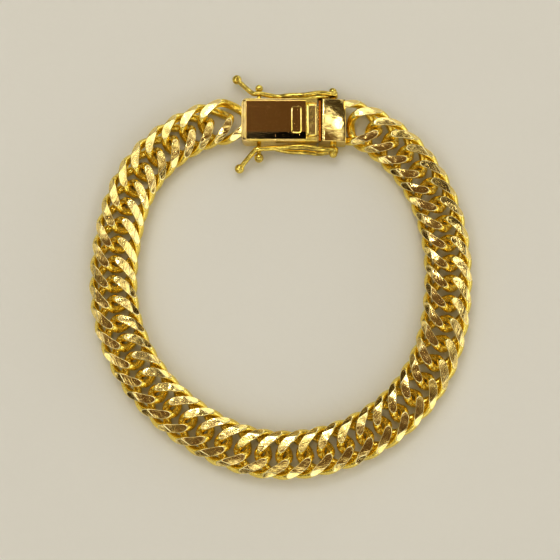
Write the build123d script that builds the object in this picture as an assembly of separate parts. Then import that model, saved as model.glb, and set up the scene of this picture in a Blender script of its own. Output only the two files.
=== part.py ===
from build123d import *
from math import cos, pi, radians, sin, tan
import os

# A double curb bracelet, ground on six faces, with a box clasp and two safety latches.
# Millimetres. The ring lies flat: X runs along the clasp, Y points out of the ring
# behind the clasp, Z is up, and the underside is at zero.

# Chain
WIRE = 1.56             # wire of the links
CHAIN_WIDTH = 8.85
CHAIN_HEIGHT = 3.95     # between the ridges of the ground top and bottom
CROWN = 4               # degrees that the top and bottom flats fall from their ridges
BEVEL_WIDTH = 1.2       # each edge bevel, seen from above
BEVEL_SLOPE = 36        # degrees from the horizontal
LINK_PLAY = 0.25        # slack between a link's end and the second link before it
SHOULDER_GAP = 0.33     # between a link's end and the third link before it
END_TILT = 63           # degrees that the link's ends are twisted out of the flat
SIDE_SLANT = 43         # degrees that its sides climb at mid length
END_FULLNESS = 0.79     # lead of the end arc, as a share of the half width
LINK_ROLL = 1.2         # degrees of the chain's slow roll from side to side
ROLL_WAVES = 4

# Centreline of the chain, clockwise seen from above, from the tongue round to the box,
# as distances from the middle of the ring. The clasp lies on its own line in Y.
CLASP_LINE = 30.2
ROUTE = [(21.0, 25.9), (27.2, 18.1), (30.5, 8.0), (30.7, -3.8), (27.6, -15.7),
         (19.6, -25.6), (7.8, -31.2), (-5.0, -31.4), (-16.6, -26.0), (-25.4, -17.1),
         (-30.1, -6.0), (-30.2, 7.0), (-26.3, 19.6), (-18.5, 27.4)]
TONGUE_HEADING = -18    # degrees, where the route leaves the tongue block
BOX_HEADING = 6         # degrees, where it comes into the box
TONGUE_LINK = 1.8       # from the block to the middle of its soldered link
TONGUE_LINK_OFF = -0.2  # of that middle from the clasp's own line
BOX_LINK = 2.95         # from the box to the middle of its soldered link
BOX_LINK_OFF = 0.25

# Clasp box
BOX_START = -7.25       # its closed end
BOX_LENGTH = 14.2
BOX_WIDTH = 8.4
BOX_HEIGHT = 3.95
SHEET = 0.5             # the box's walls
BOX_CORNER = 1.1        # its upright corners
BOX_BELLY = 0.9         # rounding of its lower edges
LID_RIM = 0.42          # rim left round the sunk lid
LID_END_RIM = 0.95      # rim at the closed end
LID_DEPTH = 0.12
NOTCH_LENGTH = 2.1      # notch for the push tab, at the open end
FRAME_LENGTH = 5.3      # bare raised frame on the lid, across the box
FRAME_WIDTH = 2.0
FRAME_RIM = 0.3
FRAME_RAISE = 0.14
FRAME_CORNER = 0.6
FRAME_SETBACK = 0.75    # from the notch

# Tongue block and its folded spring
MOUTH_GAP = 0.3         # between the box and the block
BLOCK_LENGTH = 5.1
BLOCK_STEP = 0.55       # low step along the block's mouth end
BLOCK_STEP_DEPTH = 0.6  # of the step under the block's top
BLOCK_WIDTH = 8.3
BLOCK_DOME = 0.55       # how far the top falls at the chain's end
BLOCK_EDGE = 0.35
LEAF = 0.45             # thickness of the spring
LEAF_CLEARANCE = 0.15   # round the spring, inside the box
FOLD_SETBACK = 3.2      # from the box's closed end to the fold
TAB_WIDTH = 6.3         # push tab, across the box
TAB_CLEARANCE = 0.15    # round the push tab, in its notch
TAB_RAISE = 0.05        # over the box's rim
TAB_RIM = 0.35
TAB_DISH = 0.2
TAB_CORNER = 0.5

# Safety latches
LATCH_WIRE = 0.9
LATCH_LINE = 5.45       # from the clasp's middle line
LATCH_BOW = 0.4         # how far the lever bends in towards the box
LATCH_LEAN = 0.3        # of the inner latch's lower wire, away from the box
LATCH_SPREAD = 1.3      # of each wire from the middle, along the open loop
LATCH_WAIST = 0.33      # of each wire from the middle, where the two are soldered
LOOP_START = 2.6        # from the pin to where the loop is fully open
LOOP_MIDDLE = 5.4
LOOP_END = 8.2
LOOP_CLOSE = 0.8        # share of the full spread at the loop's end
WAIST_START = 10.6
PIN = 0.6
PIN_PLAY = 0.05         # all round, in the eye
PIN_SETBACK = 2.75      # from the block's mouth end
PIN_COLLAR = 1.3
PIN_HEAD = 1.5
PIN_HEAD_SEAT = 0.1     # of the head's middle past the eye's play
EYE = 1.85
SIDE_PLAY = 0.1         # each side of the eye
STEM = 0.8
STEM_SETBACK = 3.3      # from the box's closed end
STEM_PLAY = 0.12        # under the lever and beside the bead
OUTER_BEAD = 1.45
INNER_BEAD = 1.75
TAIL_BALL = 1.75
OUTER_TAIL_REACH = 8.7  # of the tail ball from the clasp's middle line
INNER_TAIL_REACH = 8.85
OUTER_TAIL_PAST = 4.25  # of the tail ball past the stem, along the clasp
INNER_TAIL_PAST = 3.65
TAIL_DROP = 0.5         # of the tail ball under the stem
OUTER_FLARE = 1.4       # past the stem, where the tail turns out
INNER_FLARE = 0.8
FLARE_OUT = 0.25
FLARE_HEIGHT = 0.7      # share of the lever's height over the stem

BOX_END = BOX_START + BOX_LENGTH
BLOCK_START = BOX_END + MOUTH_GAP
BLOCK_END = BLOCK_START + BLOCK_LENGTH
MIDDLE = BOX_HEIGHT / 2
CEILING = BOX_HEIGHT - LID_DEPTH - SHEET
LINK_LIFT = CHAIN_HEIGHT / 2
PIN_SPOT = BLOCK_START + PIN_SETBACK
STEM_SPOT = BOX_START + STEM_SETBACK
BEAD_SEAT = LATCH_LINE + LATCH_WIRE / 2 + STEM_PLAY


def arc_joint(start, start_way, end, end_way, lead):
    """Point and direction where two tangent arcs meet between two set ends."""
    span = end - start
    top = span.dot(span) - 2 * lead * span.dot(start_way)
    low = 2 * (span.dot(end_way) + lead * (1 - start_way.dot(end_way)))
    first = start + start_way * lead
    second = end - end_way * (top / low)
    share = lead / (lead + top / low)
    return first + (second - first) * share, (second - first).normalized()


def ground_link(pitch):
    """One twisted oval of round wire, ground on all six sides, lying along X."""
    reach = pitch + WIRE / 2 + LINK_PLAY / 2
    half_width = (CHAIN_WIDTH - WIRE) / 2
    end = Vector(reach, 0, 0)
    end_way = Vector(0, cos(radians(END_TILT)), -sin(radians(END_TILT)))
    side = Vector(0, half_width, 0)
    side_way = Vector(-cos(radians(SIDE_SLANT)), 0, sin(radians(SIDE_SLANT)))
    joint, joint_way = arc_joint(end, end_way, side, side_way, END_FULLNESS * half_width)
    quarter = [TangentArc(end, joint, tangent=end_way), TangentArc(joint, side, tangent=joint_way)]
    path = Wire(quarter + [edge.rotate(Axis.Y, 180) for edge in quarter])
    half = sweep(Plane(origin=path @ 0, z_dir=path % 0) * Circle(WIRE / 2), path=path)
    oval = half + half.rotate(Axis.Z, 180)
    ridge = CHAIN_HEIGHT / 2
    flat = CHAIN_WIDTH / 2 - BEVEL_WIDTH
    top = ridge - flat * tan(radians(CROWN))
    keel = flat + top / tan(radians(BEVEL_SLOPE))
    section = Polyline((0, ridge), (flat, top), (keel, 0), (flat, -top), (0, -ridge), (-flat, -top),
                       (-keel, 0), (-flat, top), close=True)
    return oval & extrude(Plane.YZ * make_face(section), reach + WIRE, both=True)


def route_places():
    """Pitch, and the places of all links on the route, the two soldered ones included."""
    first = (BLOCK_END + TONGUE_LINK, CLASP_LINE + TONGUE_LINK_OFF)
    last = (BOX_START - BOX_LINK, CLASP_LINE + BOX_LINK_OFF)
    ways = [(cos(radians(angle)), sin(radians(angle))) for angle in (TONGUE_HEADING, BOX_HEADING)]
    route = Spline(first, *ROUTE, last, tangents=ways, tangent_scalars=(1, 1))
    steps = int(route.length / (2 * WIRE + LINK_PLAY + SHOULDER_GAP))
    places = []
    for number in range(steps + 1):
        spot = route.position_at(number / steps)
        way = route.tangent_at(number / steps)
        frame = Plane(origin=(spot.X, spot.Y, LINK_LIFT), x_dir=(way.X, way.Y, 0), z_dir=(0, 0, 1))
        roll = LINK_ROLL * sin(2 * pi * ROLL_WAVES * number / steps)
        places.append(frame.location * Location((0, 0, 0), (roll, 0, 0)))
    return route.length / steps, places


def block(x_from, x_to, width, z_from, z_to, corner=0.0):
    """A block across the clasp's middle line, with its upright corners rounded."""
    length = x_to - x_from
    outline = RectangleRounded(length, width, corner) if corner else Rectangle(length, width)
    return Pos((x_from + x_to) / 2, CLASP_LINE, z_from) * extrude(outline, z_to - z_from)


def across(x, z, radius, y_from, y_to, side):
    """A round bar across the clasp, from one distance off its middle line to another."""
    start = Plane(origin=(x, CLASP_LINE + side * y_from, z), z_dir=(0, side, 0))
    return extrude(start * Circle(radius), y_to - y_from)


def lid_frame():
    """Bare raised frame on the lid."""
    middle = BOX_END - NOTCH_LENGTH - FRAME_SETBACK - FRAME_WIDTH / 2
    outer = RectangleRounded(FRAME_WIDTH, FRAME_LENGTH, FRAME_CORNER)
    inner = RectangleRounded(FRAME_WIDTH - 2 * FRAME_RIM, FRAME_LENGTH - 2 * FRAME_RIM,
                             FRAME_CORNER - FRAME_RIM / 2)
    return Pos(middle, CLASP_LINE, BOX_HEIGHT - LID_DEPTH) * extrude(outer - inner, FRAME_RAISE)


def clasp_box(link, place):
    """Sheet box with its lid, notch and two beads, and the chain's last link soldered on."""
    shell = block(BOX_START, BOX_END, BOX_WIDTH, 0, BOX_HEIGHT)
    shell = fillet(shell.edges().filter_by(Axis.Z).group_by(Axis.X)[0], BOX_CORNER)
    belly = [edge for edge in shell.edges().group_by(Axis.Z)[0] if edge.center().X < BOX_END - SHEET]
    shell = fillet(belly, BOX_BELLY)
    shell -= block(BOX_START + SHEET, BOX_END + SHEET, BOX_WIDTH - 2 * SHEET, SHEET, CEILING)
    lid_end = BOX_END - NOTCH_LENGTH
    shell -= block(BOX_START + LID_END_RIM, lid_end, BOX_WIDTH - 2 * LID_RIM,
                   BOX_HEIGHT - LID_DEPTH, BOX_HEIGHT + SHEET, LID_RIM)
    shell -= block(lid_end, BOX_END + SHEET, TAB_WIDTH + 2 * TAB_CLEARANCE, SHEET, BOX_HEIGHT + SHEET)
    shell += lid_frame()
    for side, bead in ((-1, INNER_BEAD), (1, OUTER_BEAD)):
        bead_line = BEAD_SEAT + bead / 2
        shell += across(STEM_SPOT, MIDDLE, STEM / 2, (BOX_WIDTH - SHEET) / 2, bead_line, side)
        shell += Pos(STEM_SPOT, CLASP_LINE + side * bead_line, MIDDLE) * Sphere(bead / 2)
    outside = block(BOX_START - 2 * CHAIN_WIDTH, BOX_START + SHEET / 2, 2 * CHAIN_WIDTH, -WIRE,
                    BOX_HEIGHT + WIRE)
    return shell + (place * link & outside)


def spring_and_tab():
    """Folded leaf that lies in the box, with the push tab on its free end."""
    half = BOX_WIDTH / 2 - SHEET - LEAF_CLEARANCE
    low = SHEET + LEAF_CLEARANCE
    high = CEILING - LEAF_CLEARANCE
    bend = (high - low) / 2
    fold = BOX_START + SHEET + FOLD_SETBACK + bend
    tab_start = BOX_END - NOTCH_LENGTH + TAB_CLEARANCE
    spine = Polyline((BLOCK_START + LEAF, low), (fold, low)) + ThreePointArc(
        (fold, low), (fold - bend, low + bend), (fold, high)) + Line((fold, high), (BOX_END, high))
    inner = bend - LEAF
    back = Polyline((BOX_END, high), (BOX_END, high - LEAF), (fold, high - LEAF)) + ThreePointArc(
        (fold, high - LEAF), (fold - inner, low + bend), (fold, low + LEAF)) + Polyline(
        (fold, low + LEAF), (BLOCK_START + LEAF, low + LEAF), (BLOCK_START + LEAF, low))
    profile = make_face(spine.edges() + back.edges())
    turned = Plane(origin=(0, CLASP_LINE + half, 0), x_dir=(1, 0, 0), z_dir=(0, -1, 0))
    leaf = extrude(turned * profile, 2 * half)
    top = BOX_HEIGHT + TAB_RAISE
    tab = block(tab_start, BOX_END, TAB_WIDTH, high - LEAF / 2, top, TAB_CORNER)
    tab -= block(tab_start + TAB_RIM, BOX_END - TAB_RIM, TAB_WIDTH - 2 * TAB_RIM, top - TAB_DISH,
                 top + SHEET, TAB_CORNER - TAB_RIM / 2)
    return leaf + tab


def tongue(link, place):
    """Domed end block with hinge pins and spring, and the chain's first link soldered on."""
    crown = TangentArc((BLOCK_START, BOX_HEIGHT), (BLOCK_END, BOX_HEIGHT - BLOCK_DOME), tangent=(1, 0))
    rest = Polyline((BLOCK_END, BOX_HEIGHT - BLOCK_DOME), (BLOCK_END, 0), (BLOCK_START, 0),
                    (BLOCK_START, BOX_HEIGHT))
    turned = Plane(origin=(0, CLASP_LINE + BLOCK_WIDTH / 2, 0), x_dir=(1, 0, 0), z_dir=(0, -1, 0))
    head = extrude(turned * make_face([crown, *rest.edges()]), BLOCK_WIDTH)
    head = fillet(head.edges().filter_by(Axis.X, reverse=True).group_by(Axis.X)[-1], BLOCK_EDGE)
    head -= block(BLOCK_START - MOUTH_GAP, BLOCK_START + BLOCK_STEP, 2 * BLOCK_WIDTH,
                  BOX_HEIGHT - BLOCK_STEP_DEPTH, BOX_HEIGHT + SHEET)
    for side in (-1, 1):
        eye_side = LATCH_LINE - LATCH_WIRE / 2
        head += across(PIN_SPOT, MIDDLE, PIN_COLLAR / 2, BLOCK_WIDTH / 2 - SHEET,
                       eye_side - SIDE_PLAY, side)
        outer_side = LATCH_LINE + LATCH_WIRE / 2 + SIDE_PLAY
        head_line = outer_side + PIN_HEAD_SEAT
        head += across(PIN_SPOT, MIDDLE, PIN / 2, BLOCK_WIDTH / 2 - SHEET, head_line, side)
        ball = Pos(PIN_SPOT, CLASP_LINE + side * head_line, MIDDLE) * Sphere(PIN_HEAD / 2)
        head += ball & across(PIN_SPOT, MIDDLE, PIN_HEAD, outer_side, outer_side + 2 * PIN_HEAD, side)
    outside = block(BLOCK_END - SHEET / 2, BLOCK_END + 2 * CHAIN_WIDTH, 2 * CHAIN_WIDTH, -WIRE,
                    BOX_HEIGHT + WIRE)
    return head + spring_and_tab() + (place * link & outside)


def latch(side, reach, past, flare, lean):
    """Bent wire lever on a hinge eye: it hooks over the stem and ends in a flared tail."""
    over = STEM / 2 + STEM_PLAY + LATCH_WIRE / 2
    line = LATCH_LINE
    inner = LATCH_LINE - LATCH_BOW
    rise = EYE / 2 - LATCH_WIRE / 2
    bows = [(PIN_SPOT, line, rise), (PIN_SPOT - LOOP_START, line, LATCH_SPREAD),
            (PIN_SPOT - LOOP_MIDDLE, inner, LATCH_SPREAD),
            (PIN_SPOT - LOOP_END, inner, LATCH_SPREAD * LOOP_CLOSE),
            (PIN_SPOT - WAIST_START, inner, LATCH_WAIST)]
    leans = (0, lean / 2, lean, lean, 0)
    low_bows = [(x, y + out, z) for (x, y, z), out in zip(bows, leans)]
    tail = [(STEM_SPOT, line, over), (STEM_SPOT - flare, line + FLARE_OUT, over * FLARE_HEIGHT),
            (STEM_SPOT - past, reach, -TAIL_DROP)]
    solid = across(PIN_SPOT, MIDDLE, EYE / 2, line - LATCH_WIRE / 2, line + LATCH_WIRE / 2, side)
    for turn, spots in ((1, bows + tail), (-1, low_bows)):
        spots = [(x, CLASP_LINE + side * y, MIDDLE + turn * z) for x, y, z in spots]
        path = Spline(*spots)
        solid += sweep(Plane(origin=path @ 0, z_dir=path % 0) * Circle(LATCH_WIRE / 2), path=path)
        solid += Location(path @ 1) * Sphere(LATCH_WIRE / 2)
    ball_spot = (STEM_SPOT - past, CLASP_LINE + side * reach, MIDDLE - TAIL_DROP)
    solid += Pos(*ball_spot) * Sphere(TAIL_BALL / 2)
    return solid - across(PIN_SPOT, MIDDLE, PIN / 2 + PIN_PLAY, 0, 2 * LATCH_LINE, side)


def main():
    pitch, places = route_places()
    link = ground_link(pitch)
    parts = {"clasp_box": clasp_box(link, places[-1]), "tongue": tongue(link, places[0]),
             "latch_outer": latch(1, OUTER_TAIL_REACH, OUTER_TAIL_PAST, OUTER_FLARE, 0),
             "latch_inner": latch(-1, INNER_TAIL_REACH, INNER_TAIL_PAST, INNER_FLARE, LATCH_LEAN)}
    for number, place in enumerate(places[1:-1], start=1):
        parts[f"link_{number:02d}"] = place * link
    boxes = [part.bounding_box(optimal=True) for part in parts.values()]
    middle_x = (min(box.min.X for box in boxes) + max(box.max.X for box in boxes)) / 2
    middle_y = (min(box.min.Y for box in boxes) + max(box.max.Y for box in boxes)) / 2
    os.makedirs("parts", exist_ok=True)
    for name, part in parts.items():
        export_step(Pos(-middle_x, -middle_y, 0) * part, f"parts/{name}.step")


main()
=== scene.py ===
"""Gold double curb bracelet with a box clasp and two safety latches: pieces, finishes and stage."""

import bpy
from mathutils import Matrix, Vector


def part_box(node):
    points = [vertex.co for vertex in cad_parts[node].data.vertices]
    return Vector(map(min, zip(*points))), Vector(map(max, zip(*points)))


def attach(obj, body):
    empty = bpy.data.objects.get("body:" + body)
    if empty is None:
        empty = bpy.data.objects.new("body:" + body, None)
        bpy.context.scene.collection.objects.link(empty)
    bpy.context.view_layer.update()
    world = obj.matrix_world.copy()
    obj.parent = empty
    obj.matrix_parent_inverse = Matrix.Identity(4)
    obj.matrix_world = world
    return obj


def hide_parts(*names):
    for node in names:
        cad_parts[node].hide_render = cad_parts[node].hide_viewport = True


bl_info = {
    "name": "Double Curb Bracelet",
    "version": (1, 0, 0),
    "blender": (4, 5, 0),
    "location": "View3D > Sidebar > Bracelet",
    "description": "Builds a ground double curb bracelet with its box clasp, finishes and stage",
    "category": "Add Mesh",
}

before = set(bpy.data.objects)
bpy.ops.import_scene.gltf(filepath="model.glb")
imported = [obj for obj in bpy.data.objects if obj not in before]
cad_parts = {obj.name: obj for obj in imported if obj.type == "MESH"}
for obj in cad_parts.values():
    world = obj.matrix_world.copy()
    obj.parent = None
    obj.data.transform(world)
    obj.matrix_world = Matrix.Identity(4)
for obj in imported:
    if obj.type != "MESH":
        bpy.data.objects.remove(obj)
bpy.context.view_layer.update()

from math import atan2, cos, pi, radians, sin, tan

import bmesh
import bpy
from bpy.props import FloatProperty, FloatVectorProperty, PointerProperty
from mathutils import Matrix, Vector

MM = 0.001
BODY = "bracelet"
LINK_NODES = sorted(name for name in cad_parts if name.startswith("link_"))
BOX_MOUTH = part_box("clasp_box")[1][0] / MM
CLASP_LINE = (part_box("tongue")[0][1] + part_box("tongue")[1][1]) / 2 / MM
CLASP_SPOT = Matrix.Translation((BOX_MOUTH, CLASP_LINE, 0))
# The third slot holds a painted highlight on link edges, or painted shade in the block's step
PLAIN, GROUND, PAINTED_LIGHT_SLOT = 0, 1, 2   # a piece's material slots
TOUCH, NEAR = 1e-4, 1e-3        # distances that count as none, in millimetres
SHARP, PAD_SHARP = radians(50), radians(40)     # least turn of a rounded edge
UPWARD = 0.9                    # least Z of the normal of a face that looks up
SQUARE = 0.9999                 # least part of the normal of a level or upright face
ROUND, BALL_RINGS = 28, 18      # sides of round wire, bars and balls, and rings of balls

# Links, in millimetres
ARC_STEP = 0.38                 # between two rings of a link's wire
SLIVER = 0.07                   # wire points this near a cut fold into it
RIM_ANGLE = radians(7)          # least turn of a rubbed edge
ROLL_WAVES = 4                  # of the chain's roll, round the ring
PATTERN_STEP = 23.7             # between the patterns of two links
TONE_STEP = 0.618               # between the tones of two links
SOLDER_SINK = 0.2               # of a soldered link into the clasp

# Clasp box and lid, in millimetres
BOX_EDGE = 0.1
PAD_EDGE = 0.075
LID_EDGE = 0.05
LID_LAP = 0.6                   # of the lid on the walls, as a share of the sheet
LID_CREASE = 1.35               # from the front wall
LID_CURL = 0.075                # slope of the lid in front of its crease
FRAME_SETBACK = 0.75            # from the notch
FRAME_WIDTH = 2.0
FRAME_LENGTH = 5.3              # across the box
FRAME_SINK = 0.1
FRAME_RAISE = 0.14
FRAME_CORNER = 0.6
FRAME_RIM = 0.3
FRAME_DISH = 0.13
STEM_RADIUS = 0.4
STEM_SINK = 0.25
STEM_PLAY = 0.12                # under the lever and beside the bead

# Tongue, in millimetres
LEAF = 0.45                     # thickness of the spring
LEAF_GAP = 0.15                 # round the spring
LEAF_EDGE = 0.06
FOLD_SETBACK = 3.2              # from the box's closed end to the fold
FOLD_STEPS = 12
BLOCK_EDGE = 0.22
DOME_CUTS = 14
STEP_SPARE = 0.01               # a face or edge this near the step's line counts as on it
TAB_GAP = 0.15                  # round the push tab
TAB_THICK = 1.2
TAB_RAISE = 0.05
TAB_CORNER = 0.5
TAB_RIM = 0.35
TAB_DISH = 0.25
PIN_COLLAR = 0.65               # radii of the hinge pins
PIN_RADIUS = 0.3
PIN_HEAD = 0.75
PIN_SINK = 0.3
PIN_SEAT = 0.1                  # of the head's middle past the eye's play
SIDE_PLAY = 0.1                 # each side of the eye

# Latches, in millimetres
LOOP_START, LOOP_MIDDLE, LOOP_END, WAIST_START = 2.6, 5.4, 8.2, 10.6   # from the pin
LOOP_CLOSE = 0.8                # share of the spread at the loop's end
LEAN_SHARES = (0, 0.5, 1, 1, 0)  # of the lean, at the loop's five points
FLARE_OUT = 0.25
FLARE_HEIGHT = 0.7              # share of the lever's height over the stem
TAIL_DROP = 0.5
LEVER_SIDES = 20

# Stage, in metres
AIM = Vector((-0.000146, -0.001666, 0.001975))
EYE_FROM_AIM = Vector((0, -0.0458, 0.2356))
LENS, SENSOR, CLIP_START = 83.77, 36, 0.01
LAMPS = (                       # name, place from the aim, width, watts, colour
    ("key", (0.0, 0.145, 0.787), 0.085, 0.15, (1.0, 0.97, 0.92)),
    ("back_key", (-0.09, 0.36, 0.71), 0.072, 0.20, (1.0, 0.98, 0.93)),
    ("side_key", (0.30, 0.285, 0.79), 0.08, 0.035, (1.0, 0.97, 0.92)))
FLOOR_HALF, FLOOR_DROP = 1.5, 0.00002
DARK_PANEL, BRIGHT_PANEL = (0.045, 0.034, 0.02), (0.90, 0.87, 0.77)
LEFT_CLOTH = (0.07, 0.055, 0.03)
LOW_WALL = (0.34, 0.33, 0.30)
OVERHEAD = (0.10, 0.066, 0.034)
LID_GLOW, LID_DARK = (0.115, 0.085, 0.052), (0.003, 0.003, 0.002)
SKY_STRENGTH = 1.12


def length(name, millimetres, text):
    return FloatProperty(name=name, description=text, default=millimetres * MM, min=0,
                         unit="LENGTH", precision=5)


def angle(name, degrees, text):
    return FloatProperty(name=name, description=text, default=radians(degrees), subtype="ANGLE",
                         unit="ROTATION")


def colour(name, red, green, blue, text):
    return FloatVectorProperty(name=name, description=text, default=(red, green, blue), size=3,
                               min=0, max=1, subtype="COLOR")


def amount(name, default, text):
    return FloatProperty(name=name, description=text, default=default, min=0)


class ChainSizes(bpy.types.PropertyGroup):
    wire: length("Wire", 1.56, "Wire of the links")
    width: length("Width", 8.85, "Width of the chain")
    height: length("Height", 3.95, "Height between the ground ridges")
    crown: angle("Crown", 4, "Fall of the top and bottom flats from their ridges")
    bevel_width: length("Bevel Width", 1.2, "Edge bevels, seen from above")
    bevel_slope: angle("Bevel Slope", 36, "Slope of the edge bevels")
    pitch: length("Pitch", 3.741, "Step from link to link")
    play: length("Play", 0.25, "Slack between one link and the next but one")
    end_tilt: angle("End Tilt", 63, "Twist of the link's ends out of the flat")
    side_slant: angle("Side Slant", 43, "Climb of the link's sides at mid length")
    end_fullness: amount("End Fullness", 0.79, "Lead of the end arc, as a share of the half width")
    roll: angle("Roll", 1.2, "Slow roll of the chain from side to side")
    edge: length("Edge", 0.09, "Softening of the ground edges")
    tongue_link: length("Tongue Link", 1.8, "From the block to the middle of its soldered link")
    tongue_off: length("Tongue Link Offset", 0.2, "Of that middle from the clasp's line, inwards")
    box_link: length("Box Link", 2.95, "From the box to the middle of its soldered link")
    box_off: length("Box Link Offset", 0.25, "Of that middle from the clasp's line, outwards")
    tongue_heading: angle("Tongue Heading", -18, "Turn of the link soldered to the block")
    box_heading: angle("Box Heading", 6, "Turn of the link soldered to the box")


class ClaspSizes(bpy.types.PropertyGroup):
    box_length: length("Box Length", 14.2, "Length of the clasp box")
    box_width: length("Box Width", 8.4, "Width of the clasp box")
    height: length("Height", 3.95, "Height of the box and of the block")
    sheet: length("Sheet", 0.5, "Walls of the box")
    corner: length("Corner", 1.1, "Upright corners of the box")
    belly: length("Belly", 0.9, "Rounding of the box's lower edges")
    lid_depth: length("Lid Depth", 0.12, "How far the lid is sunk")
    end_rim: length("End Rim", 0.95, "Rim at the closed end")
    notch_length: length("Notch Length", 2.1, "Notch for the push tab")
    notch_width: length("Notch Width", 6.6, "Notch for the push tab, across the box")
    mouth_gap: length("Mouth Gap", 0.3, "Between the box and the block")
    block_length: length("Block Length", 5.1, "Length of the tongue block")
    step: length("Block Step", 0.55, "Low step along the block's mouth end")
    step_depth: length("Block Step Depth", 0.6, "Of the step under the block's top")
    block_width: length("Block Width", 8.3, "Width of the tongue block")
    dome: length("Dome", 0.55, "Fall of the block's top at the chain's end")


class LatchSizes(bpy.types.PropertyGroup):
    wire: length("Wire", 0.9, "Wire of the latches")
    line: length("Line", 5.45, "From the clasp's middle line to the lever")
    bow: length("Bow", 0.4, "Bend of the lever towards the box")
    lean: length("Lean", 0.3, "Of the inner latch's lower wire, away from the box")
    spread: length("Spread", 1.3, "Of each wire from the middle, along the open loop")
    waist: length("Waist", 0.33, "Of each wire from the middle, where the two are soldered")
    pin_setback: length("Pin Setback", 2.75, "From the block's mouth end to the hinge pin")
    eye: length("Eye", 1.85, "Hinge eye")
    stem_setback: length("Stem Setback", 3.3, "From the box's closed end to the stem")
    outer_bead: length("Outer Bead", 1.45, "Bead on the outer stem")
    inner_bead: length("Inner Bead", 1.75, "Bead on the inner stem")
    tail_ball: length("Tail Ball", 1.75, "Ball at the tail's end")
    outer_reach: length("Outer Reach", 8.7, "Of the outer tail ball from the clasp's middle line")
    inner_reach: length("Inner Reach", 8.85, "Of the inner tail ball from the clasp's middle line")
    outer_past: length("Outer Past", 4.25, "Of the outer tail ball past the stem")
    inner_past: length("Inner Past", 3.65, "Of the inner tail ball past the stem")
    outer_flare: length("Outer Flare", 1.4, "Past the stem, where the outer tail turns out")
    inner_flare: length("Inner Flare", 0.8, "Past the stem, where the inner tail turns out")


class GoldFinish(bpy.types.PropertyGroup):
    # Flat and Round are copies of one gold: the paler flat gold is a painted highlight on the
    # ground flats, and the more saturated round gold is painted shade from light bounced between
    # the wires
    flat: colour("Flat", 1.0, 0.83, 0.46, "Gold of the ground flats")
    round: colour("Round", 1.0, 0.85, 0.32, "Gold of the round wire")
    # Darker gold: painted shade on the wire's patches, in the pits and in the block's step, and the
    # colour of small dark specks
    pits_and_shade: colour("Deep", 0.92, 0.54, 0.09, "Gold in the hollows and along solder")
    # Painted highlight: the pale gold of the softened edges stands for the light they catch
    edge: colour("Edge", 1.0, 0.95, 0.66, "Gold of the rubbed edges")
    # Painted shade: a darker copy of the same gold, to make the latch wire look shaded
    latch: colour("Latch", 0.56, 0.46, 0.16, "Duller gold of the latch wire")
    # Painted shade: dull red gold for the step that lies in shade by the box
    slot_shade: colour("Solder", 0.42, 0.15, 0.03, "Dull red gold in the step by the box")
    lid: colour("Lid", 0.93, 0.68, 0.36, "Gold of the mirror lid")
    floor: colour("Floor", 0.90, 0.90, 0.90, "Pale floor")
    gloss: amount("Gloss", 0.12, "Roughness of the polished wire")


class Signal:
    """A node's output, with arithmetic that adds Math nodes."""

    def __init__(self, finish, socket):
        self.finish = finish
        self.socket = socket

    def maths(self, operation, *values):
        return self.finish.node("ShaderNodeMath", {"operation": operation}, dict(enumerate(values)))

    def __add__(self, other):
        return self.maths("ADD", self, other)

    def __radd__(self, other):
        return self.maths("ADD", other, self)

    def __sub__(self, other):
        return self.maths("SUBTRACT", self, other)

    def __rsub__(self, other):
        return self.maths("SUBTRACT", other, self)

    def __mul__(self, other):
        return self.maths("MULTIPLY", self, other)

    def __rmul__(self, other):
        return self.maths("MULTIPLY", other, self)

    def __abs__(self):
        return self.maths("ABSOLUTE", self)

    def between(self, low, high):
        """Rises smoothly from 0 to 1 as the value goes from low to high."""
        return self.finish.node(
            "ShaderNodeMapRange", {"interpolation_type": "SMOOTHSTEP", "clamp": True},
            {"Value": self, "From Min": low, "From Max": high})


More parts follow.
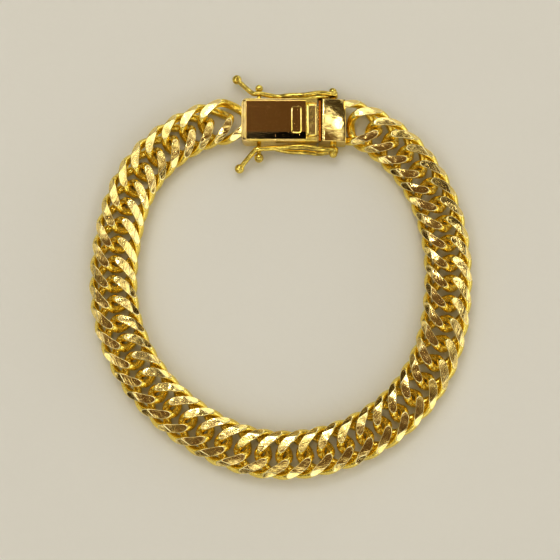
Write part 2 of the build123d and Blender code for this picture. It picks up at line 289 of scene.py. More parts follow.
class Finish:
    """The node tree of a material or of the studio, drawn up afresh."""

    def __init__(self, holder):
        holder.use_nodes = True
        self.holder, self.tree = holder, holder.node_tree
        self.tree.nodes.clear()

    def node(self, kind, settings=None, sockets=None, output=0):
        """Adds a node, gives it its settings first and then its sockets' values or links."""
        made = self.tree.nodes.new(kind)
        for name, value in (settings or {}).items():
            setattr(made, name, value)
        for name, value in (sockets or {}).items():
            if isinstance(value, Signal):
                self.tree.links.new(value.socket, made.inputs[name])
            else:
                made.inputs[name].default_value = value
        return Signal(self, made.outputs[output] if made.outputs else None)

    def place(self):
        """The piece's own coordinates, in metres."""
        return self.node("ShaderNodeTexCoord", output="Object")

    def attribute(self, name, output):
        return self.node("ShaderNodeAttribute", {"attribute_name": name}, output=output)

    def axes(self, vector):
        """The three parts of a vector."""
        parts = self.node("ShaderNodeSeparateXYZ", {}, {0: vector}).socket.node.outputs
        return [Signal(self, part) for part in parts]

    def mix(self, factor, first, second):
        """Blends two colours."""
        first, second = [c if isinstance(c, Signal) else (*c, 1) for c in (first, second)]
        return self.node("ShaderNodeMix", {"data_type": "RGBA"},
                         {0: factor, 6: first, 7: second}, output=2)

    def noise(self, place, scale, detail=3.0, rough=0.6, stretch=None, turn=0):
        """Clouded pattern from 0 to 1, stretched and then turned by degrees if asked."""
        if stretch:
            place = self.node("ShaderNodeMapping", {"vector_type": "POINT"}, {
                "Vector": place, "Rotation": (0, 0, radians(turn)), "Scale": stretch})
        return self.node("ShaderNodeTexNoise", {}, {
            "Vector": place, "Scale": scale, "Detail": detail, "Roughness": rough})

    def bumps(self, *layers):
        """Normal raised by each pattern in turn, to its depth in millimetres."""
        normal = None
        for height, depth in layers:
            under = {"Normal": normal} if normal else {}
            normal = self.node("ShaderNodeBump", {}, {
                "Height": height, "Distance": depth * MM, **under})
        return normal

    def surface(self, shade, roughness, normal, metallic=1.0):
        """Ends the tree with a shader and gives the material."""
        shader = self.node("ShaderNodeBsdfPrincipled", {}, {
            "Base Color": shade, "Metallic": metallic, "Roughness": roughness, "Normal": normal})
        self.node("ShaderNodeOutputMaterial", {}, {"Surface": shader})
        return self.holder


def new_finish(name):
    return Finish(bpy.data.materials.get(name) or bpy.data.materials.new(name))


def gold():
    return bpy.context.scene.bracelet_gold


def ground_gold():
    """Ground flats: bright, faintly domed and uneven, with fine lines left along the petals."""
    finish = new_finish("ground_gold")
    spot, tone = finish.attribute("spot", "Vector"), finish.attribute("tone", "Fac")
    x, y, _ = finish.axes(spot)
    lines = finish.noise(spot, 1.0, stretch=(0.7, 3.2, 1.0), turn=35)
    pits = finish.noise(spot, 7.0, detail=2.0, rough=0.5).between(0.64, 0.74)
    swell = finish.noise(spot, 0.45, detail=1.0, rough=0.4)
    worn = finish.noise(spot, 1.3)
    rim = abs(y) - 0.9
    dome = swell * 0.13 - (x * x * 0.010 + rim * rim * 0.020)
    shade = finish.mix(worn.between(0.4, 0.7) * 0.35 + tone * 0.25, gold().flat, gold().round)
    # The pits are real bumps; their darker gold is painted shade
    shade = finish.mix(pits * 0.4, shade, gold().pits_and_shade)
    normal = finish.bumps((dome, 1.0), (lines, 0.03), (pits, -0.008))
    return finish.surface(shade, 0.09 + lines * 0.08 + pits * 0.1, normal)


def wire_gold():
    """Round wire of the links: the more saturated gold as painted shade, with random patches of
    darker gold as painted shade.
    """
    finish = new_finish("wire_gold")
    spot = finish.attribute("spot", "Vector")
    wire_ripple_and_shade = finish.noise(spot, 2.4, detail=4.0)
    fine = finish.noise(spot, 11.0)
    # Painted shade: random patches of the darker gold; the same pattern also bumps and roughens the
    # wire
    shade = finish.mix(wire_ripple_and_shade.between(0.5, 0.75) * 0.5, gold().round, gold().pits_and_shade)
    shade = finish.mix(fine.between(0.55, 0.8) * 0.5, shade, gold().flat)
    normal = finish.bumps((wire_ripple_and_shade, 0.06), (fine, 0.006))
    return finish.surface(shade, gold().gloss + wire_ripple_and_shade * 0.12, normal)


def edge_highlight_gold():
    """Painted highlight along the softened edges between the flats and the round wire: paler and
    brighter than both.
    """
    finish = new_finish("edge_highlight_gold")
    highlight_spread = finish.noise(finish.attribute("spot", "Vector"), 3.0)
    shade = finish.mix(highlight_spread.between(0.35, 0.7), gold().edge, gold().flat)
    return finish.surface(shade, 0.24 + highlight_spread * 0.1, finish.bumps((highlight_spread, 0.02)))


def link_finishes():
    """Finishes of a link, in the order of its material slots."""
    return [wire_gold(), ground_gold(), edge_highlight_gold()]


def sheet_gold():
    """Clasp walls, rims and block: polished, with soft dents."""
    finish = new_finish("sheet_gold")
    place = finish.place()
    dents = finish.noise(place, 320.0, detail=2.0, rough=0.5)
    fine = finish.noise(place, 2600.0)
    shade = finish.mix(dents.between(0.35, 0.7), gold().flat, gold().round)
    shade = finish.mix(fine.between(0.6, 0.8) * 0.3, shade, gold().pits_and_shade)
    normal = finish.bumps((dents, 0.03), (fine, 0.006))
    return finish.surface(shade, gold().gloss + fine * 0.1, normal)


def lid_gold():
    """Mirror lid with hairline scratches and a few specks."""
    finish = new_finish("lid_gold")
    place = finish.place()
    hair = finish.noise(place, 1500.0, detail=2.0, rough=0.5, stretch=(0.5, 6.0, 1.0), turn=32)
    cross = finish.noise(place, 1300.0, detail=2.0, rough=0.5, stretch=(0.5, 7.0, 1.0), turn=-50)
    specks = finish.noise(place, 4200.0, detail=1.0, rough=0.5).between(0.65, 0.70)
    sway = finish.noise(place, 90.0, detail=1.0, rough=0.4)
    marks_and_glints = hair.between(0.63, 0.69) * 0.3 + cross.between(0.64, 0.70) * 0.25 + specks * 0.5
    # Scratches and specks are real bumps; their paler gold is a painted glint
    shade = finish.mix(marks_and_glints * 0.5, gold().lid, gold().flat)
    normal = finish.bumps((sway, 0.02), (marks_and_glints, 0.002))
    return finish.surface(shade, 0.06 + marks_and_glints * 0.12, normal)


def block_gold():
    """Top of the block: polished but beaten all over."""
    finish = new_finish("block_gold")
    place = finish.place()
    beaten = finish.noise(place, 1100.0)
    dents = finish.noise(place, 380.0, detail=1.0, rough=0.5)
    shade = finish.mix(beaten.between(0.35, 0.7) * 0.5, gold().flat, gold().round)
    normal = finish.bumps((dents, 0.05), (beaten, 0.03))
    return finish.surface(shade, 0.08 + beaten * 0.08, normal)


def step_shade_gold():
    """Painted shade: dull red gold in the low step between the block and the box, which lies in the
    shade of the slot.
    """
    finish = new_finish("step_shade_gold")
    grain = finish.noise(finish.place(), 1800.0)
    shade = finish.mix(grain * 0.3, gold().slot_shade, gold().pits_and_shade)
    return finish.surface(shade, 0.22 + grain * 0.1, finish.bumps((grain, 0.008)))


def latch_gold():
    """Bent wire of the latches and their balls, with random patches of a darker gold as painted
    shade.
    """
    finish = new_finish("latch_gold")
    place = finish.place()
    lever_ripple_and_shade = finish.noise(place, 900.0)
    fine = finish.noise(place, 3600.0, detail=2.0)
    # Painted shade: patches of the darker latch gold; the same pattern also bumps and roughens the
    # wire
    shade = finish.mix(lever_ripple_and_shade.between(0.35, 0.65), gold().round, gold().latch)
    shade = finish.mix(fine.between(0.5, 0.7) * 0.3, shade, gold().pits_and_shade)
    normal = finish.bumps((lever_ripple_and_shade, 0.12), (fine, 0.01))
    return finish.surface(shade, gold().gloss + lever_ripple_and_shade * 0.12, normal)


def floor_paper():
    """Pale paper that the bracelet lies on."""
    finish = new_finish("floor_paper")
    place = finish.place()
    grain = finish.noise(place, 900.0, detail=4.0)
    cloud = finish.noise(place, 14.0, detail=2.0, rough=0.5)
    pale = gold().floor
    shade = finish.mix(cloud, [c * 0.97 for c in pale], pale)
    return finish.surface(shade, 0.75, finish.bumps((grain, 0.02)), metallic=0.0)


def studio_sky(world):
    """Soft studio: pale and dark panels all round, dark overhead and where the lid looks."""
    sky = Finish(world)
    way = sky.node("ShaderNodeTexCoord", output="Generated")
    x, y, height = sky.axes(way)
    panels = sky.noise(way, 3.4, detail=1.0, rough=0.4).between(0.45, 0.55)
    shade = sky.mix(panels, DARK_PANEL, BRIGHT_PANEL)
    shade = sky.mix((y * 0.8 - x * 0.6).between(0.70, 0.95), shade, LEFT_CLOTH)
    shade = sky.mix(height.between(-0.05, 0.10), LOW_WALL, shade)
    shade = sky.mix((x * x * 0.4 + y * y).between(0.04, 0.11), OVERHEAD, shade)
    aside, ahead = x + 0.02, y - 0.38
    hood = sky.mix(y.between(0.345, 0.37), LID_GLOW, LID_DARK)
    shade = sky.mix((aside * aside * 1.6 + ahead * ahead).between(0.018, 0.030), hood, shade)
    light = sky.node("ShaderNodeBackground", {}, {"Color": shade, "Strength": SKY_STRENGTH})
    sky.node("ShaderNodeOutputWorld", {}, {"Surface": light})


def put_piece(bm, name, node, materials, body=BODY, place=None):
    """Turns a shape drawn in millimetres into a piece that stands for a part of the bracelet."""
    if place:
        bm.transform(place)
    bm.transform(Matrix.Scale(MM, 4))
    mesh = bpy.data.meshes.new(name)
    bm.to_mesh(mesh)
    bm.free()
    for material in materials:
        mesh.materials.append(material)
    piece = bpy.data.objects.new(name, mesh)
    bpy.context.scene.collection.objects.link(piece)
    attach(piece, body)
    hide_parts(node)


def put_clasp_piece(bm, name, node, materials):
    put_piece(bm, name, node, materials, place=CLASP_SPOT)


def in_millimetres(group, *names):
    """The named sizes of a group, in the order asked."""
    return [getattr(group, name) / MM for name in names]


def whole(bm):
    return bm.verts[:] + bm.edges[:] + bm.faces[:]


def only(parts, kind):
    """Those parts of a mesh that are of one kind."""
    return [part for part in parts if isinstance(part, kind)]


def verts_of(faces):
    return list(dict.fromkeys(vert for face in faces for vert in face.verts))


def smooth(bm):
    """Shades the level and upright faces flat and all others smooth."""
    bm.normal_update()
    for face in bm.faces:
        face.smooth = max(abs(part) for part in face.normal) < SQUARE


def edges_of(bm, test):
    return [edge for edge in bm.edges if test(edge)]


def settle(bm):
    """Orders the parts of a mesh by their places alone, so that every run goes on alike."""
    def spots(part):
        verts = getattr(part, "verts", [part])
        return sorted([round(axis, 4) for axis in vert.co] for vert in verts)

    for parts in (bm.verts, bm.edges, bm.faces):
        for rank, part in enumerate(sorted(parts, key=spots)):
            part.index = rank
        parts.sort()


def slice_at(bm, point, normal, clear=False, geom=None):
    """Cuts along a plane, clears what lies past it if asked, and gives the edges of the cut."""
    cut = bmesh.ops.bisect_plane(bm, geom=geom or whole(bm), dist=TOUCH, plane_co=point,
                                 plane_no=normal, clear_outer=clear)
    return only(cut["geom_cut"], bmesh.types.BMEdge)


def bevel(bm, edges, size, steps=2, clamp=True):
    return bmesh.ops.bevel(bm, geom=edges, offset=size, offset_type="OFFSET", segments=steps,
                           profile=0.5, affect="EDGES", clamp_overlap=clamp, material=-1)


def arc_joint(start, start_way, end, end_way, lead):
    """Point where two tangent arcs meet between two set ends."""
    span = end - start
    top = span.dot(span) - 2 * lead * span.dot(start_way)
    low = 2 * (span.dot(end_way) + lead * (1 - start_way.dot(end_way)))
    first = start + start_way * lead
    second = end - end_way * (top / low)
    return first + (second - first) * (lead / (lead + top / low))


def spin_on(bm, ring, here, way, spot):
    """Carries a ring of wire along one arc to the next spot, and gives the new ring and heading."""
    chord = spot - here
    out = (chord - way * chord.dot(way)).normalized()
    radius = chord.length_squared / (2 * chord.dot(out))
    turn = 2 * way.angle(chord)
    steps = max(4, round(radius * turn / ARC_STEP))
    spun = bmesh.ops.spin(bm, geom=ring, cent=here + out * radius, axis=way.cross(out), angle=turn,
                          steps=steps, use_merge=False, use_duplicate=False)
    ahead = chord.normalized()
    return spun["geom_last"], 2 * way.dot(ahead) * ahead - way


def grind(bm, point, normal):
    """Cuts away what stands past one flat and closes the cuts with ground faces."""
    rims = slice_at(bm, point, normal, clear=True)
    for face in bmesh.ops.holes_fill(bm, edges=rims, sides=0)["faces"]:
        face.material_index = GROUND


def fold_slivers(bm, reach):
    """Folds wire points that lie very near a cut into the cut's own edge."""
    settle(bm)
    cut = {v for v in bm.verts if any(f.material_index == GROUND for f in v.link_faces)}
    targets = {}
    for edge in bm.edges:
        a, b = edge.verts
        if (a in cut) == (b in cut) or edge.calc_length() > reach:
            continue
        if b in cut:
            a, b = b, a
        targets.setdefault(b, a)
    bmesh.ops.weld_verts(bm, targetmap=targets)
    bmesh.ops.dissolve_degenerate(bm, dist=TOUCH, edges=bm.edges[:])


def ground_link():
    """One twisted oval of round wire, ground on all six sides, in millimetres, lying along X."""
    sizes = bpy.context.scene.bracelet_chain
    wire, width, height, bevel_width, pitch, play = in_millimetres(
        sizes, "wire", "width", "height", "bevel_width", "pitch", "play")
    half_width = (width - wire) / 2
    end = Vector((pitch + wire / 2 + play / 2, 0, 0))
    way = Vector((0, cos(sizes.end_tilt), -sin(sizes.end_tilt)))
    side = Vector((0, half_width, 0))
    side_way = Vector((-cos(sizes.side_slant), 0, sin(sizes.side_slant)))
    joint = arc_joint(end, way, side, side_way, sizes.end_fullness * half_width)
    over, round_about = Matrix.Rotation(pi, 3, "Y"), Matrix.Rotation(pi, 3, "Z")
    spots = [joint, side, over @ joint, over @ end]
    spots += [round_about @ spot for spot in spots]
    bm = bmesh.new()
    spot_layer = bm.verts.layers.float_vector.new("spot")
    bm.verts.layers.float.new("tone")
    start = Matrix.Translation(end) @ way.to_track_quat("Z", "Y").to_matrix().to_4x4()
    bmesh.ops.create_circle(bm, cap_ends=False, segments=ROUND, radius=wire / 2, matrix=start)
    ring, here = bm.verts[:] + bm.edges[:], end
    for spot in spots:
        ring, way = spin_on(bm, ring, here, way, spot)
        here = spot
    bmesh.ops.recalc_face_normals(bm, faces=bm.faces[:])
    ridge, flat = height / 2, width / 2 - bevel_width
    shoulder = ridge - flat * tan(sizes.crown)
    for up in (1, -1):
        for out in (1, -1):
            grind(bm, (0, 0, up * ridge), (0, out * sin(sizes.crown), up * cos(sizes.crown)))
            grind(bm, (0, out * flat, up * shoulder),
                  (0, out * sin(sizes.bevel_slope), up * cos(sizes.bevel_slope)))
    fold_slivers(bm, SLIVER)
    settle(bm)
    bm.normal_update()
    for face in bm.faces:
        face.smooth = face.material_index != GROUND
    rims = edges_of(bm, lambda e: len(e.link_faces) == 2 and e.calc_face_angle() > RIM_ANGLE
                    and any(f.material_index == GROUND for f in e.link_faces))
    # The softened edge strips get the painted edge highlight
    for face in bevel(bm, rims, sizes.edge / MM, clamp=False)["faces"]:
        face.material_index = PAINTED_LIGHT_SLOT
        face.smooth = True
    settle(bm)
    for vert in bm.verts:
        vert[spot_layer] = vert.co
    return bm


def link_places():
    """Where each loose link lies, read from the frame: its middle, heading and roll."""
    sizes = bpy.context.scene.bracelet_chain
    steps = len(LINK_NODES) + 1
    places = {}
    for number, node in enumerate(LINK_NODES, start=1):
        low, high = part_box(node)
        middle = (Vector(low) + Vector(high)) / 2
        across = along = 0.0
        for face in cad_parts[node].data.polygons:
            off = face.center - middle
            across += face.area * off.x * off.y
            along += face.area * (off.x * off.x - off.y * off.y)
        roll = sizes.roll * sin(2 * pi * ROLL_WAVES * number / steps)
        turn = Matrix.Rotation(atan2(2 * across, along) / 2, 4, "Z") @ Matrix.Rotation(roll, 4, "X")
        places[node] = Matrix.Translation(middle / MM) @ turn
    return places


class BRACELET_OT_links(bpy.types.Operator):
    """Lays the loose links round the ring"""
    bl_idname = "bracelet.links"
    bl_label = "Links"

    def execute(self, context):
        finishes = link_finishes()
        pattern = ground_link()
        for number, (node, place) in enumerate(link_places().items(), start=1):
            link = pattern.copy()
            layers = link.verts.layers
            spot, tone = layers.float_vector["spot"], layers.float["tone"]
            for vert in link.verts:
                vert[spot] = vert[spot] + Vector((0, 0, PATTERN_STEP * number))
                vert[tone] = (number * TONE_STEP) % 1
            put_piece(link, node + "_piece", node, finishes, place=place)
        pattern.free()
        return {"FINISHED"}


def half_link(middle_x, middle_y, heading, face_x, way):
    """The part of a soldered link that stands out of a clasp face, in the clasp's own frame."""
    link = ground_link()
    height = bpy.context.scene.bracelet_chain.height / MM
    spot = Matrix.Translation((middle_x, middle_y, height / 2))
    link.transform(spot @ Matrix.Rotation(heading, 4, "Z"))
    rims = slice_at(link, (face_x, 0, 0), (-way, 0, 0), clear=True)
    bmesh.ops.holes_fill(link, edges=rims, sides=0)
    return link


def cube(bm, x_from, x_to, width, z_from, z_to):
    """A plain block across the clasp's middle line."""
    place = Matrix.Translation(((x_from + x_to) / 2, 0, (z_from + z_to) / 2))
    stretch = Matrix.Diagonal((x_to - x_from, width, z_to - z_from, 1))
    bmesh.ops.create_cube(bm, size=1, matrix=place @ stretch)


def upright(edge, x=None):
    """Whether an edge stands upright, and at x if one is given."""
    a, b = (v.co for v in edge.verts)
    return abs(a.x - b.x) + abs(a.y - b.y) < TOUCH and (x is None or abs(a.x - x) < NEAR)


def level(edge, z):
    return all(abs(v.co.z - z) < NEAR for v in edge.verts)


def sharp(edge, least=SHARP):
    return edge.calc_face_angle(0) > least


def box_tub():
    """Floor and walls of the box, open at the mouth and on top."""
    length, width, height, sheet, corner, belly = in_millimetres(
        bpy.context.scene.bracelet_clasp, "box_length", "box_width", "height", "sheet", "corner",
        "belly")
    bm = bmesh.new()
    cube(bm, -length, 0, width, 0, height)
    open_faces = [f for f in bm.faces if f.normal.x > UPWARD or f.normal.z > UPWARD]
    bmesh.ops.delete(bm, geom=open_faces, context="FACES_ONLY")
    bevel(bm, edges_of(bm, lambda e: upright(e, -length)), corner, steps=8)
    bevel(bm, edges_of(bm, lambda e: level(e, 0) and len(e.link_faces) == 2), belly, steps=6)
    bmesh.ops.recalc_face_normals(bm, faces=bm.faces[:])
    bmesh.ops.solidify(bm, geom=bm.faces[:], thickness=sheet)
    bevel(bm, edges_of(bm, sharp), BOX_EDGE, steps=3)
    smooth(bm)
    return bm


def lid_plate():
    """Sunk lid with its end rim, and the strips beside the notch."""
    length, width, height, sheet, depth, end_rim, notch_length, notch_width = in_millimetres(
        bpy.context.scene.bracelet_clasp, "box_length", "box_width", "height", "sheet",
        "lid_depth", "end_rim", "notch_length", "notch_width")
    back, half = -length + sheet * LID_LAP, width / 2 - sheet * LID_LAP
    rim, notch, side = end_rim - length, -notch_length, notch_width / 2
    bm = bmesh.new()
    top = height - depth - sheet
    bmesh.ops.create_grid(bm, x_segments=1, y_segments=1, size=1, matrix=Matrix.Translation(
        (back / 2, 0, top)) @ Matrix.Diagonal((-back / 2, half, 1, 1)))
    for point, normal in (((rim, 0, 0), (1, 0, 0)), ((notch, 0, 0), (1, 0, 0)),
                          ((0, side, 0), (0, 1, 0)), ((0, -side, 0), (0, 1, 0))):
        slice_at(bm, point, normal)
    gone = [f for f in bm.faces
            if f.calc_center_median().x > notch and abs(f.calc_center_median().y) < side]
    bmesh.ops.delete(bm, geom=gone, context="FACES")
    grown = bmesh.ops.extrude_face_region(bm, geom=bm.faces[:])
    roof = only(grown["geom"], bmesh.types.BMFace)
    bmesh.ops.translate(bm, verts=verts_of(roof), vec=(0, 0, sheet))
    raised = [f for f in roof if not rim <= f.calc_center_median().x <= notch]
    lifted = bmesh.ops.extrude_face_region(bm, geom=raised)
    bmesh.ops.translate(bm, verts=only(lifted["geom"], bmesh.types.BMVert), vec=(0, 0, depth))
    bmesh.ops.delete(bm, geom=raised, context="FACES_ONLY")
    settle(bm)
    bmesh.ops.recalc_face_normals(bm, faces=bm.faces[:])
    for face in bm.faces:
        if face.normal.z > UPWARD and abs(face.calc_center_median().z - height + depth) < NEAR:
            face.material_index = GROUND
    rims = edges_of(bm, lambda e: sharp(e) and min(v.co.z for v in e.verts) > top + sheet / 2)
    bevel(bm, rims, LID_EDGE)
    smooth(bm)
    curl_lid(bm, height - depth, notch, LID_CREASE + sheet - width / 2)
    return bm


def curl_lid(bm, level_z, notch, crease):
    """Turns the sunk lid up a little along its front edge, from a crease."""
    settle(bm)
    sunk = [f for f in bm.faces if f.material_index == GROUND and f.calc_center_median().x < notch]
    around = dict.fromkeys(part for f in sunk for part in (f, *f.edges, *f.verts))
    slice_at(bm, (0, crease, 0), (0, 1, 0), geom=list(around))
    for vert in verts_of(f for f in bm.faces if f.material_index == GROUND):
        if vert.co.y < crease - NEAR and abs(vert.co.z - level_z) < NEAR:
            vert.co.z += LID_CURL * min(crease - vert.co.y, LID_CREASE)


def rounded_pad(x_from, x_to, width, z_from, z_to, corner, rim, dish):
    """A pad with round corners and a rim round its dished top."""
    bm = bmesh.new()
    cube(bm, x_from, x_to, width, z_from, z_to)
    bevel(bm, edges_of(bm, upright), corner, steps=6)
    roof = [f for f in bm.faces if f.normal.z > UPWARD]
    bmesh.ops.inset_region(bm, faces=roof, thickness=rim, use_even_offset=True)
    bmesh.ops.translate(bm, verts=verts_of(roof), vec=(0, 0, -dish))
    rims = edges_of(bm, lambda e: sharp(e, PAD_SHARP)
                    and min(v.co.z for v in e.verts) > z_from + NEAR)
    bevel(bm, rims, PAD_EDGE)
    smooth(bm)
    for face in bm.faces:
        if face.normal.z > UPWARD and abs(face.calc_center_median().z - z_to + dish) < NEAR:
            face.material_index = GROUND
    return bm


def ball(bm, x, y, z, radius):
    bmesh.ops.create_uvsphere(bm, u_segments=ROUND, v_segments=BALL_RINGS, radius=radius,
                              matrix=Matrix.Translation((x, y, z)))


def bar(bm, x, z, radius, y_from, y_to):
    """A round bar across the clasp."""
    place = Matrix.Translation((x, (y_from + y_to) / 2, z)) @ Matrix.Rotation(pi / 2, 4, "X")
    bmesh.ops.create_cone(bm, cap_ends=True, segments=ROUND, radius1=radius, radius2=radius,
                          depth=abs(y_to - y_from), matrix=place)


class BRACELET_OT_box(bpy.types.Operator):
    """Makes the clasp box with its lid, frame, beads and soldered link"""
    bl_idname = "bracelet.box"
    bl_label = "Clasp Box"

    def execute(self, context):
        scene, sheet = context.scene, sheet_gold()
        length, width, height, lid_depth, notch = in_millimetres(
            scene.bracelet_clasp, "box_length", "box_width", "height", "lid_depth",
            "notch_length")
        line, wire, setback, outer_bead, inner_bead = in_millimetres(
            scene.bracelet_latch, "line", "wire", "stem_setback", "outer_bead", "inner_bead")
        link_x, link_y = in_millimetres(scene.bracelet_chain, "box_link", "box_off")
        put_clasp_piece(box_tub(), "box_walls", "clasp_box", [sheet])
        put_clasp_piece(lid_plate(), "box_lid", "clasp_box", [sheet, lid_gold()])
        lid_top, frame_end = height - lid_depth, -notch - FRAME_SETBACK
        bm = rounded_pad(frame_end - FRAME_WIDTH, frame_end, FRAME_LENGTH, lid_top - FRAME_SINK,
                         lid_top + FRAME_RAISE, FRAME_CORNER, FRAME_RIM, FRAME_DISH)
        put_clasp_piece(bm, "lid_frame", "clasp_box", [sheet, lid_gold()])
        stem, middle = setback - length, height / 2
        for side, name, bead in ((1, "bead_outer", outer_bead), (-1, "bead_inner", inner_bead)):
            bead_line = line + wire / 2 + STEM_PLAY + bead / 2
            bm = bmesh.new()
            bar(bm, stem, middle, STEM_RADIUS, side * (width / 2 - STEM_SINK), side * bead_line)
            ball(bm, stem, side * bead_line, middle, bead / 2)
            smooth(bm)
            put_clasp_piece(bm, name, "clasp_box", [latch_gold()])
        link = half_link(-length - link_x, link_y, scene.bracelet_chain.box_heading,
                         SOLDER_SINK - length, -1)
        put_clasp_piece(link, "box_half_link", "clasp_box", link_finishes())
        return {"FINISHED"}


def spring_leaf():
    """Folded spring that lies in the box."""
    length, width, height, sheet, lid_depth, mouth_gap = in_millimetres(
        bpy.context.scene.bracelet_clasp, "box_length", "box_width", "height", "sheet",
        "lid_depth", "mouth_gap")
    half = width / 2 - sheet - LEAF_GAP
    low, high = sheet + LEAF_GAP, height - lid_depth - sheet - LEAF_GAP
    bend = (high - low) / 2
    fold = sheet - length + FOLD_SETBACK + bend
    bm = bmesh.new()
    ends = [bm.verts.new((mouth_gap + LEAF, y, low)) for y in (-half, half)]
    edge = [bm.edges.new(ends)]
    for step in (Vector((fold - ends[0].co.x, 0, 0)), None, Vector((-fold, 0, 0))):
        if step is None:
            spun = bmesh.ops.spin(bm, geom=edge + [v for e in edge for v in e.verts],
                                  cent=(fold, 0, low + bend), axis=(0, 1, 0), angle=pi,
                                  steps=FOLD_STEPS)
            edge = only(spun["geom_last"], bmesh.types.BMEdge)
        else:
            grown = bmesh.ops.extrude_edge_only(bm, edges=edge)["geom"]
            tips = only(grown, bmesh.types.BMVert)
            bmesh.ops.translate(bm, verts=tips, vec=step)
            edge = [e for e in only(grown, bmesh.types.BMEdge) if all(v in tips for v in e.verts)]
    bmesh.ops.recalc_face_normals(bm, faces=bm.faces[:])
    bmesh.ops.solidify(bm, geom=bm.faces[:], thickness=LEAF)
    bevel(bm, edges_of(bm, sharp), LEAF_EDGE)
    smooth(bm)
    return bm


def end_block():
    """Domed block that carries the tongue."""
    start, reach, width, height, dome, step_length, step_depth = in_millimetres(
        bpy.context.scene.bracelet_clasp, "mouth_gap", "block_length", "block_width", "height",
        "dome", "step", "step_depth")
    bm = bmesh.new()
    cube(bm, start, start + reach, width, 0, height)
    bmesh.ops.subdivide_edges(bm, edges=edges_of(
        bm, lambda e: abs(e.verts[0].co.x - e.verts[1].co.x) > 1), cuts=DOME_CUTS,
        use_grid_fill=True)
    for vert in bm.verts:
        if vert.co.z > height / 2:
            vert.co.z -= dome * ((vert.co.x - start) / reach) ** 2
    step, low = start + step_length, height - step_depth
    slice_at(bm, (step, 0, 0), (1, 0, 0))
    shelf = [f for f in bm.faces if f.normal.z > UPWARD and f.calc_center_median().x < step]
    sunk = bmesh.ops.extrude_face_region(bm, geom=shelf)
    bmesh.ops.delete(bm, geom=shelf, context="FACES_ONLY")
    for vert in only(sunk["geom"], bmesh.types.BMVert):
        vert.co.z = low
    bmesh.ops.remove_doubles(bm, verts=bm.verts[:], dist=TOUCH)
    bmesh.ops.recalc_face_normals(bm, faces=bm.faces[:])
    bm.normal_update()
    rims = edges_of(bm, lambda e: sharp(e)
                    and min(v.co.x for v in e.verts) > step - STEP_SPARE)
    bevel(bm, rims, BLOCK_EDGE, steps=4)
    smooth(bm)
    for face in bm.faces:
        middle = face.calc_center_median()
        # The step's faces get the painted shade of the slot by the box
        if middle.x < step + STEP_SPARE and middle.z > height / 2:
            face.material_index = PAINTED_LIGHT_SLOT
        else:
            face.material_index = GROUND if face.normal.z > UPWARD else PLAIN
    return bm


class BRACELET_OT_tongue(bpy.types.Operator):
    """Makes the end block with its hinge pins, spring and push tab"""
    bl_idname = "bracelet.tongue"
    bl_label = "Tongue"

    def execute(self, context):
        scene, sheet = context.scene, sheet_gold()
        height, start, notch_length, notch_width, reach, width = in_millimetres(
            scene.bracelet_clasp, "height", "mouth_gap", "notch_length", "notch_width",
            "block_length", "block_width")
        line, wire, setback = in_millimetres(scene.bracelet_latch, "line", "wire", "pin_setback")
        link_x, link_y = in_millimetres(scene.bracelet_chain, "tongue_link", "tongue_off")
        put_clasp_piece(end_block(), "end_block", "tongue", [sheet, block_gold(), step_shade_gold()])
        put_clasp_piece(spring_leaf(), "spring_leaf", "tongue", [sheet])
        bm = rounded_pad(TAB_GAP - notch_length, 0, notch_width - 2 * TAB_GAP, height - TAB_THICK,
                         height + TAB_RAISE, TAB_CORNER, TAB_RIM, TAB_DISH)
        put_clasp_piece(bm, "push_tab", "tongue", [sheet, block_gold()])
        pin, middle = start + setback, height / 2
        inner, head = line - wire / 2 - SIDE_PLAY, line + wire / 2 + SIDE_PLAY + PIN_SEAT
        for side, name in ((1, "pin_outer"), (-1, "pin_inner")):
            bm = bmesh.new()
            bar(bm, pin, middle, PIN_COLLAR, side * (width / 2 - PIN_SINK), side * inner)
            bar(bm, pin, middle, PIN_RADIUS, side * inner, side * head)
            ball(bm, pin, side * head, middle, PIN_HEAD)
            smooth(bm)
            put_clasp_piece(bm, name, "tongue", [latch_gold()])
        face = start + reach
        link = half_link(face + link_x, -link_y, scene.bracelet_chain.tongue_heading,
                         face - SOLDER_SINK, 1)
        put_clasp_piece(link, "tongue_half_link", "tongue", link_finishes())
        return {"FINISHED"}


def smooth_line(spots, steps=8):
    """Points along a smooth line through the given spots."""
    line = [spots[0]]
    for number in range(len(spots) - 1):
        a, b = spots[number], spots[number + 1]
        before = spots[number - 1] if number else a
        after = spots[number + 2] if number + 2 < len(spots) else b
        for step in range(1, steps + 1):
            t = step / steps
            bend = 2 * before - 5 * a + 4 * b - after
            line.append(0.5 * (2 * a + (b - before) * t + bend * t * t
                               + (3 * a - before - 3 * b + after) * t ** 3))
    return line


def draw_wire(bm, line, radius):
    """Draws round wire along a line, with flat ends."""
    way = (line[1] - line[0]).normalized()
    start = Matrix.Translation(line[0]) @ way.to_track_quat("Z", "Y").to_matrix().to_4x4()
    made = bmesh.ops.create_circle(bm, cap_ends=True, segments=LEVER_SIDES, radius=radius,
                                   matrix=start)
    verts = made["verts"]
    around = dict.fromkeys(edge for vert in verts for edge in vert.link_edges)
    edges = [e for e in around if all(v in verts for v in e.verts)]
    for number in range(1, len(line)):
        ahead = line[min(number + 1, len(line) - 1)] - line[number - 1]
        turn = way.rotation_difference(ahead)
        way = ahead.normalized()
        grown = bmesh.ops.extrude_edge_only(bm, edges=edges)["geom"]
        verts = only(grown, bmesh.types.BMVert)
        edges = [e for e in only(grown, bmesh.types.BMEdge) if all(v in verts for v in e.verts)]
        bmesh.ops.translate(bm, verts=verts, vec=line[number] - line[number - 1])
        bmesh.ops.transform(bm, matrix=turn.to_matrix().to_4x4(), verts=verts,
                            space=Matrix.Translation(-line[number]))
    bmesh.ops.contextual_create(bm, geom=edges)


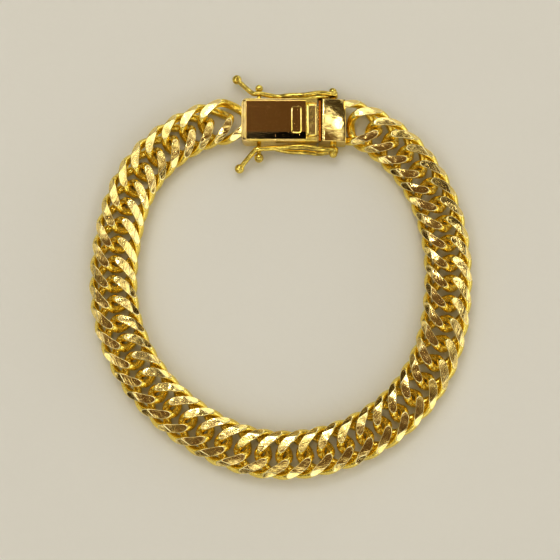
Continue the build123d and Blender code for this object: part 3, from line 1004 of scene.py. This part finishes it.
def latch_lever(side, reach, past, flare, lean):
    """Bent wire lever with its hinge eye, waist and flared tail."""
    length, height, mouth_gap = in_millimetres(
        bpy.context.scene.bracelet_clasp, "box_length", "height", "mouth_gap")
    wire, line, bow, spread, waist, pin_setback, eye, stem_setback, tail_ball = in_millimetres(
        bpy.context.scene.bracelet_latch, "wire", "line", "bow", "spread", "waist",
        "pin_setback", "eye", "stem_setback", "tail_ball")
    middle, pin, stem = height / 2, mouth_gap + pin_setback, stem_setback - length
    inner, over, rise = line - bow, STEM_RADIUS + STEM_PLAY + wire / 2, eye / 2 - wire / 2
    loop = [(pin, line, rise), (pin - LOOP_START, line, spread),
            (pin - LOOP_MIDDLE, inner, spread), (pin - LOOP_END, inner, spread * LOOP_CLOSE),
            (pin - WAIST_START, inner, waist)]
    low_loop = [(x, y + lean * share, z) for (x, y, z), share in zip(loop, LEAN_SHARES)]
    tail = [(stem, line, over), (stem - flare, line + FLARE_OUT, over * FLARE_HEIGHT),
            (stem - past, reach, -TAIL_DROP)]
    bm = bmesh.new()
    bar(bm, pin, middle, eye / 2, side * (line - wire / 2), side * (line + wire / 2))
    for way, spots, end in ((1, loop + tail, tail_ball / 2), (-1, low_loop, wire / 2)):
        points = smooth_line([Vector((x, side * y, middle + way * z)) for x, y, z in spots])
        draw_wire(bm, points, wire / 2)
        ball(bm, *points[-1], end)
    smooth(bm)
    return bm


class BRACELET_OT_latches(bpy.types.Operator):
    """Makes the two safety latches"""
    bl_idname = "bracelet.latches"
    bl_label = "Safety Latches"

    def execute(self, context):
        for side, name in ((1, "outer"), (-1, "inner")):
            reach, past, flare, lean = in_millimetres(
                context.scene.bracelet_latch, name + "_reach", name + "_past", name + "_flare",
                "lean")
            lever = latch_lever(side, reach, past, flare, 0 if side > 0 else lean)
            put_piece(lever, f"latch_{name}_lever", f"latch_{name}", [latch_gold()],
                      body=f"{name}_latch", place=CLASP_SPOT)
        return {"FINISHED"}


def put_facing(name, data, place):
    """Sets a lamp or the camera at its place from the aim, and turns it to look there."""
    holder = bpy.data.objects.new(name, data)
    bpy.context.scene.collection.objects.link(holder)
    holder.location = AIM + place
    holder.rotation_euler = (AIM - holder.location).to_track_quat("-Z", "Y").to_euler()
    return holder


def lamp(name, place, size, power, shade):
    """A round lamp that looks at the bracelet's middle."""
    light = bpy.data.lights.new(name, "AREA")
    light.shape, light.size, light.energy, light.color = "DISK", size, power, shade
    put_facing(name, light, Vector(place))


class BRACELET_OT_stage(bpy.types.Operator):
    """Sets the floor, the soft light and the camera"""
    bl_idname = "bracelet.stage"
    bl_label = "Stage"

    def execute(self, context):
        scene = context.scene
        bm = bmesh.new()
        bmesh.ops.create_grid(bm, x_segments=1, y_segments=1, size=FLOOR_HALF,
                              matrix=Matrix.Translation((0, 0, -FLOOR_DROP)))
        mesh = bpy.data.meshes.new("floor")
        bm.to_mesh(mesh)
        bm.free()
        mesh.materials.append(floor_paper())
        floor = bpy.data.objects.new("floor", mesh)
        scene.collection.objects.link(floor)
        for settings in LAMPS:
            lamp(*settings)
        scene.view_settings.view_transform = "Standard"
        scene.view_settings.look = "Very High Contrast"
        scene.world = scene.world or bpy.data.worlds.new("studio")
        studio_sky(scene.world)
        camera = bpy.data.cameras.new("camera")
        camera.lens, camera.sensor_width, camera.clip_start = LENS, SENSOR, CLIP_START
        scene.camera = put_facing("camera", camera, EYE_FROM_AIM)
        return {"FINISHED"}


class BRACELET_PT_panel(bpy.types.Panel):
    """Lists the bracelet's pieces"""
    bl_label = "Double Curb Bracelet"
    bl_space_type = "VIEW_3D"
    bl_region_type = "UI"
    bl_category = "Bracelet"

    def draw(self, context):
        for operator in OPERATORS:
            self.layout.operator(operator.bl_idname)
        for group in GROUPS:
            settings = getattr(context.scene, group)
            for name in settings.bl_rna.properties.keys():
                if name not in ("rna_type", "name"):
                    self.layout.prop(settings, name)


GROUPS = {"bracelet_chain": ChainSizes, "bracelet_clasp": ClaspSizes, "bracelet_latch": LatchSizes,
          "bracelet_gold": GoldFinish}
OPERATORS = (BRACELET_OT_links, BRACELET_OT_box, BRACELET_OT_tongue, BRACELET_OT_latches,
             BRACELET_OT_stage)


def register():
    for group in GROUPS.values():
        bpy.utils.register_class(group)
    for name, group in GROUPS.items():
        setattr(bpy.types.Scene, name, PointerProperty(type=group))
    for operator in OPERATORS:
        bpy.utils.register_class(operator)
    bpy.utils.register_class(BRACELET_PT_panel)


def unregister():
    bpy.utils.unregister_class(BRACELET_PT_panel)
    for operator in reversed(OPERATORS):
        bpy.utils.unregister_class(operator)
    for name, group in reversed(list(GROUPS.items())):
        delattr(bpy.types.Scene, name)
        bpy.utils.unregister_class(group)


def main():
    register()
    bpy.ops.bracelet.links()
    bpy.ops.bracelet.box()
    bpy.ops.bracelet.tongue()
    bpy.ops.bracelet.latches()
    bpy.ops.bracelet.stage()


if __name__ == "__main__":
    main()
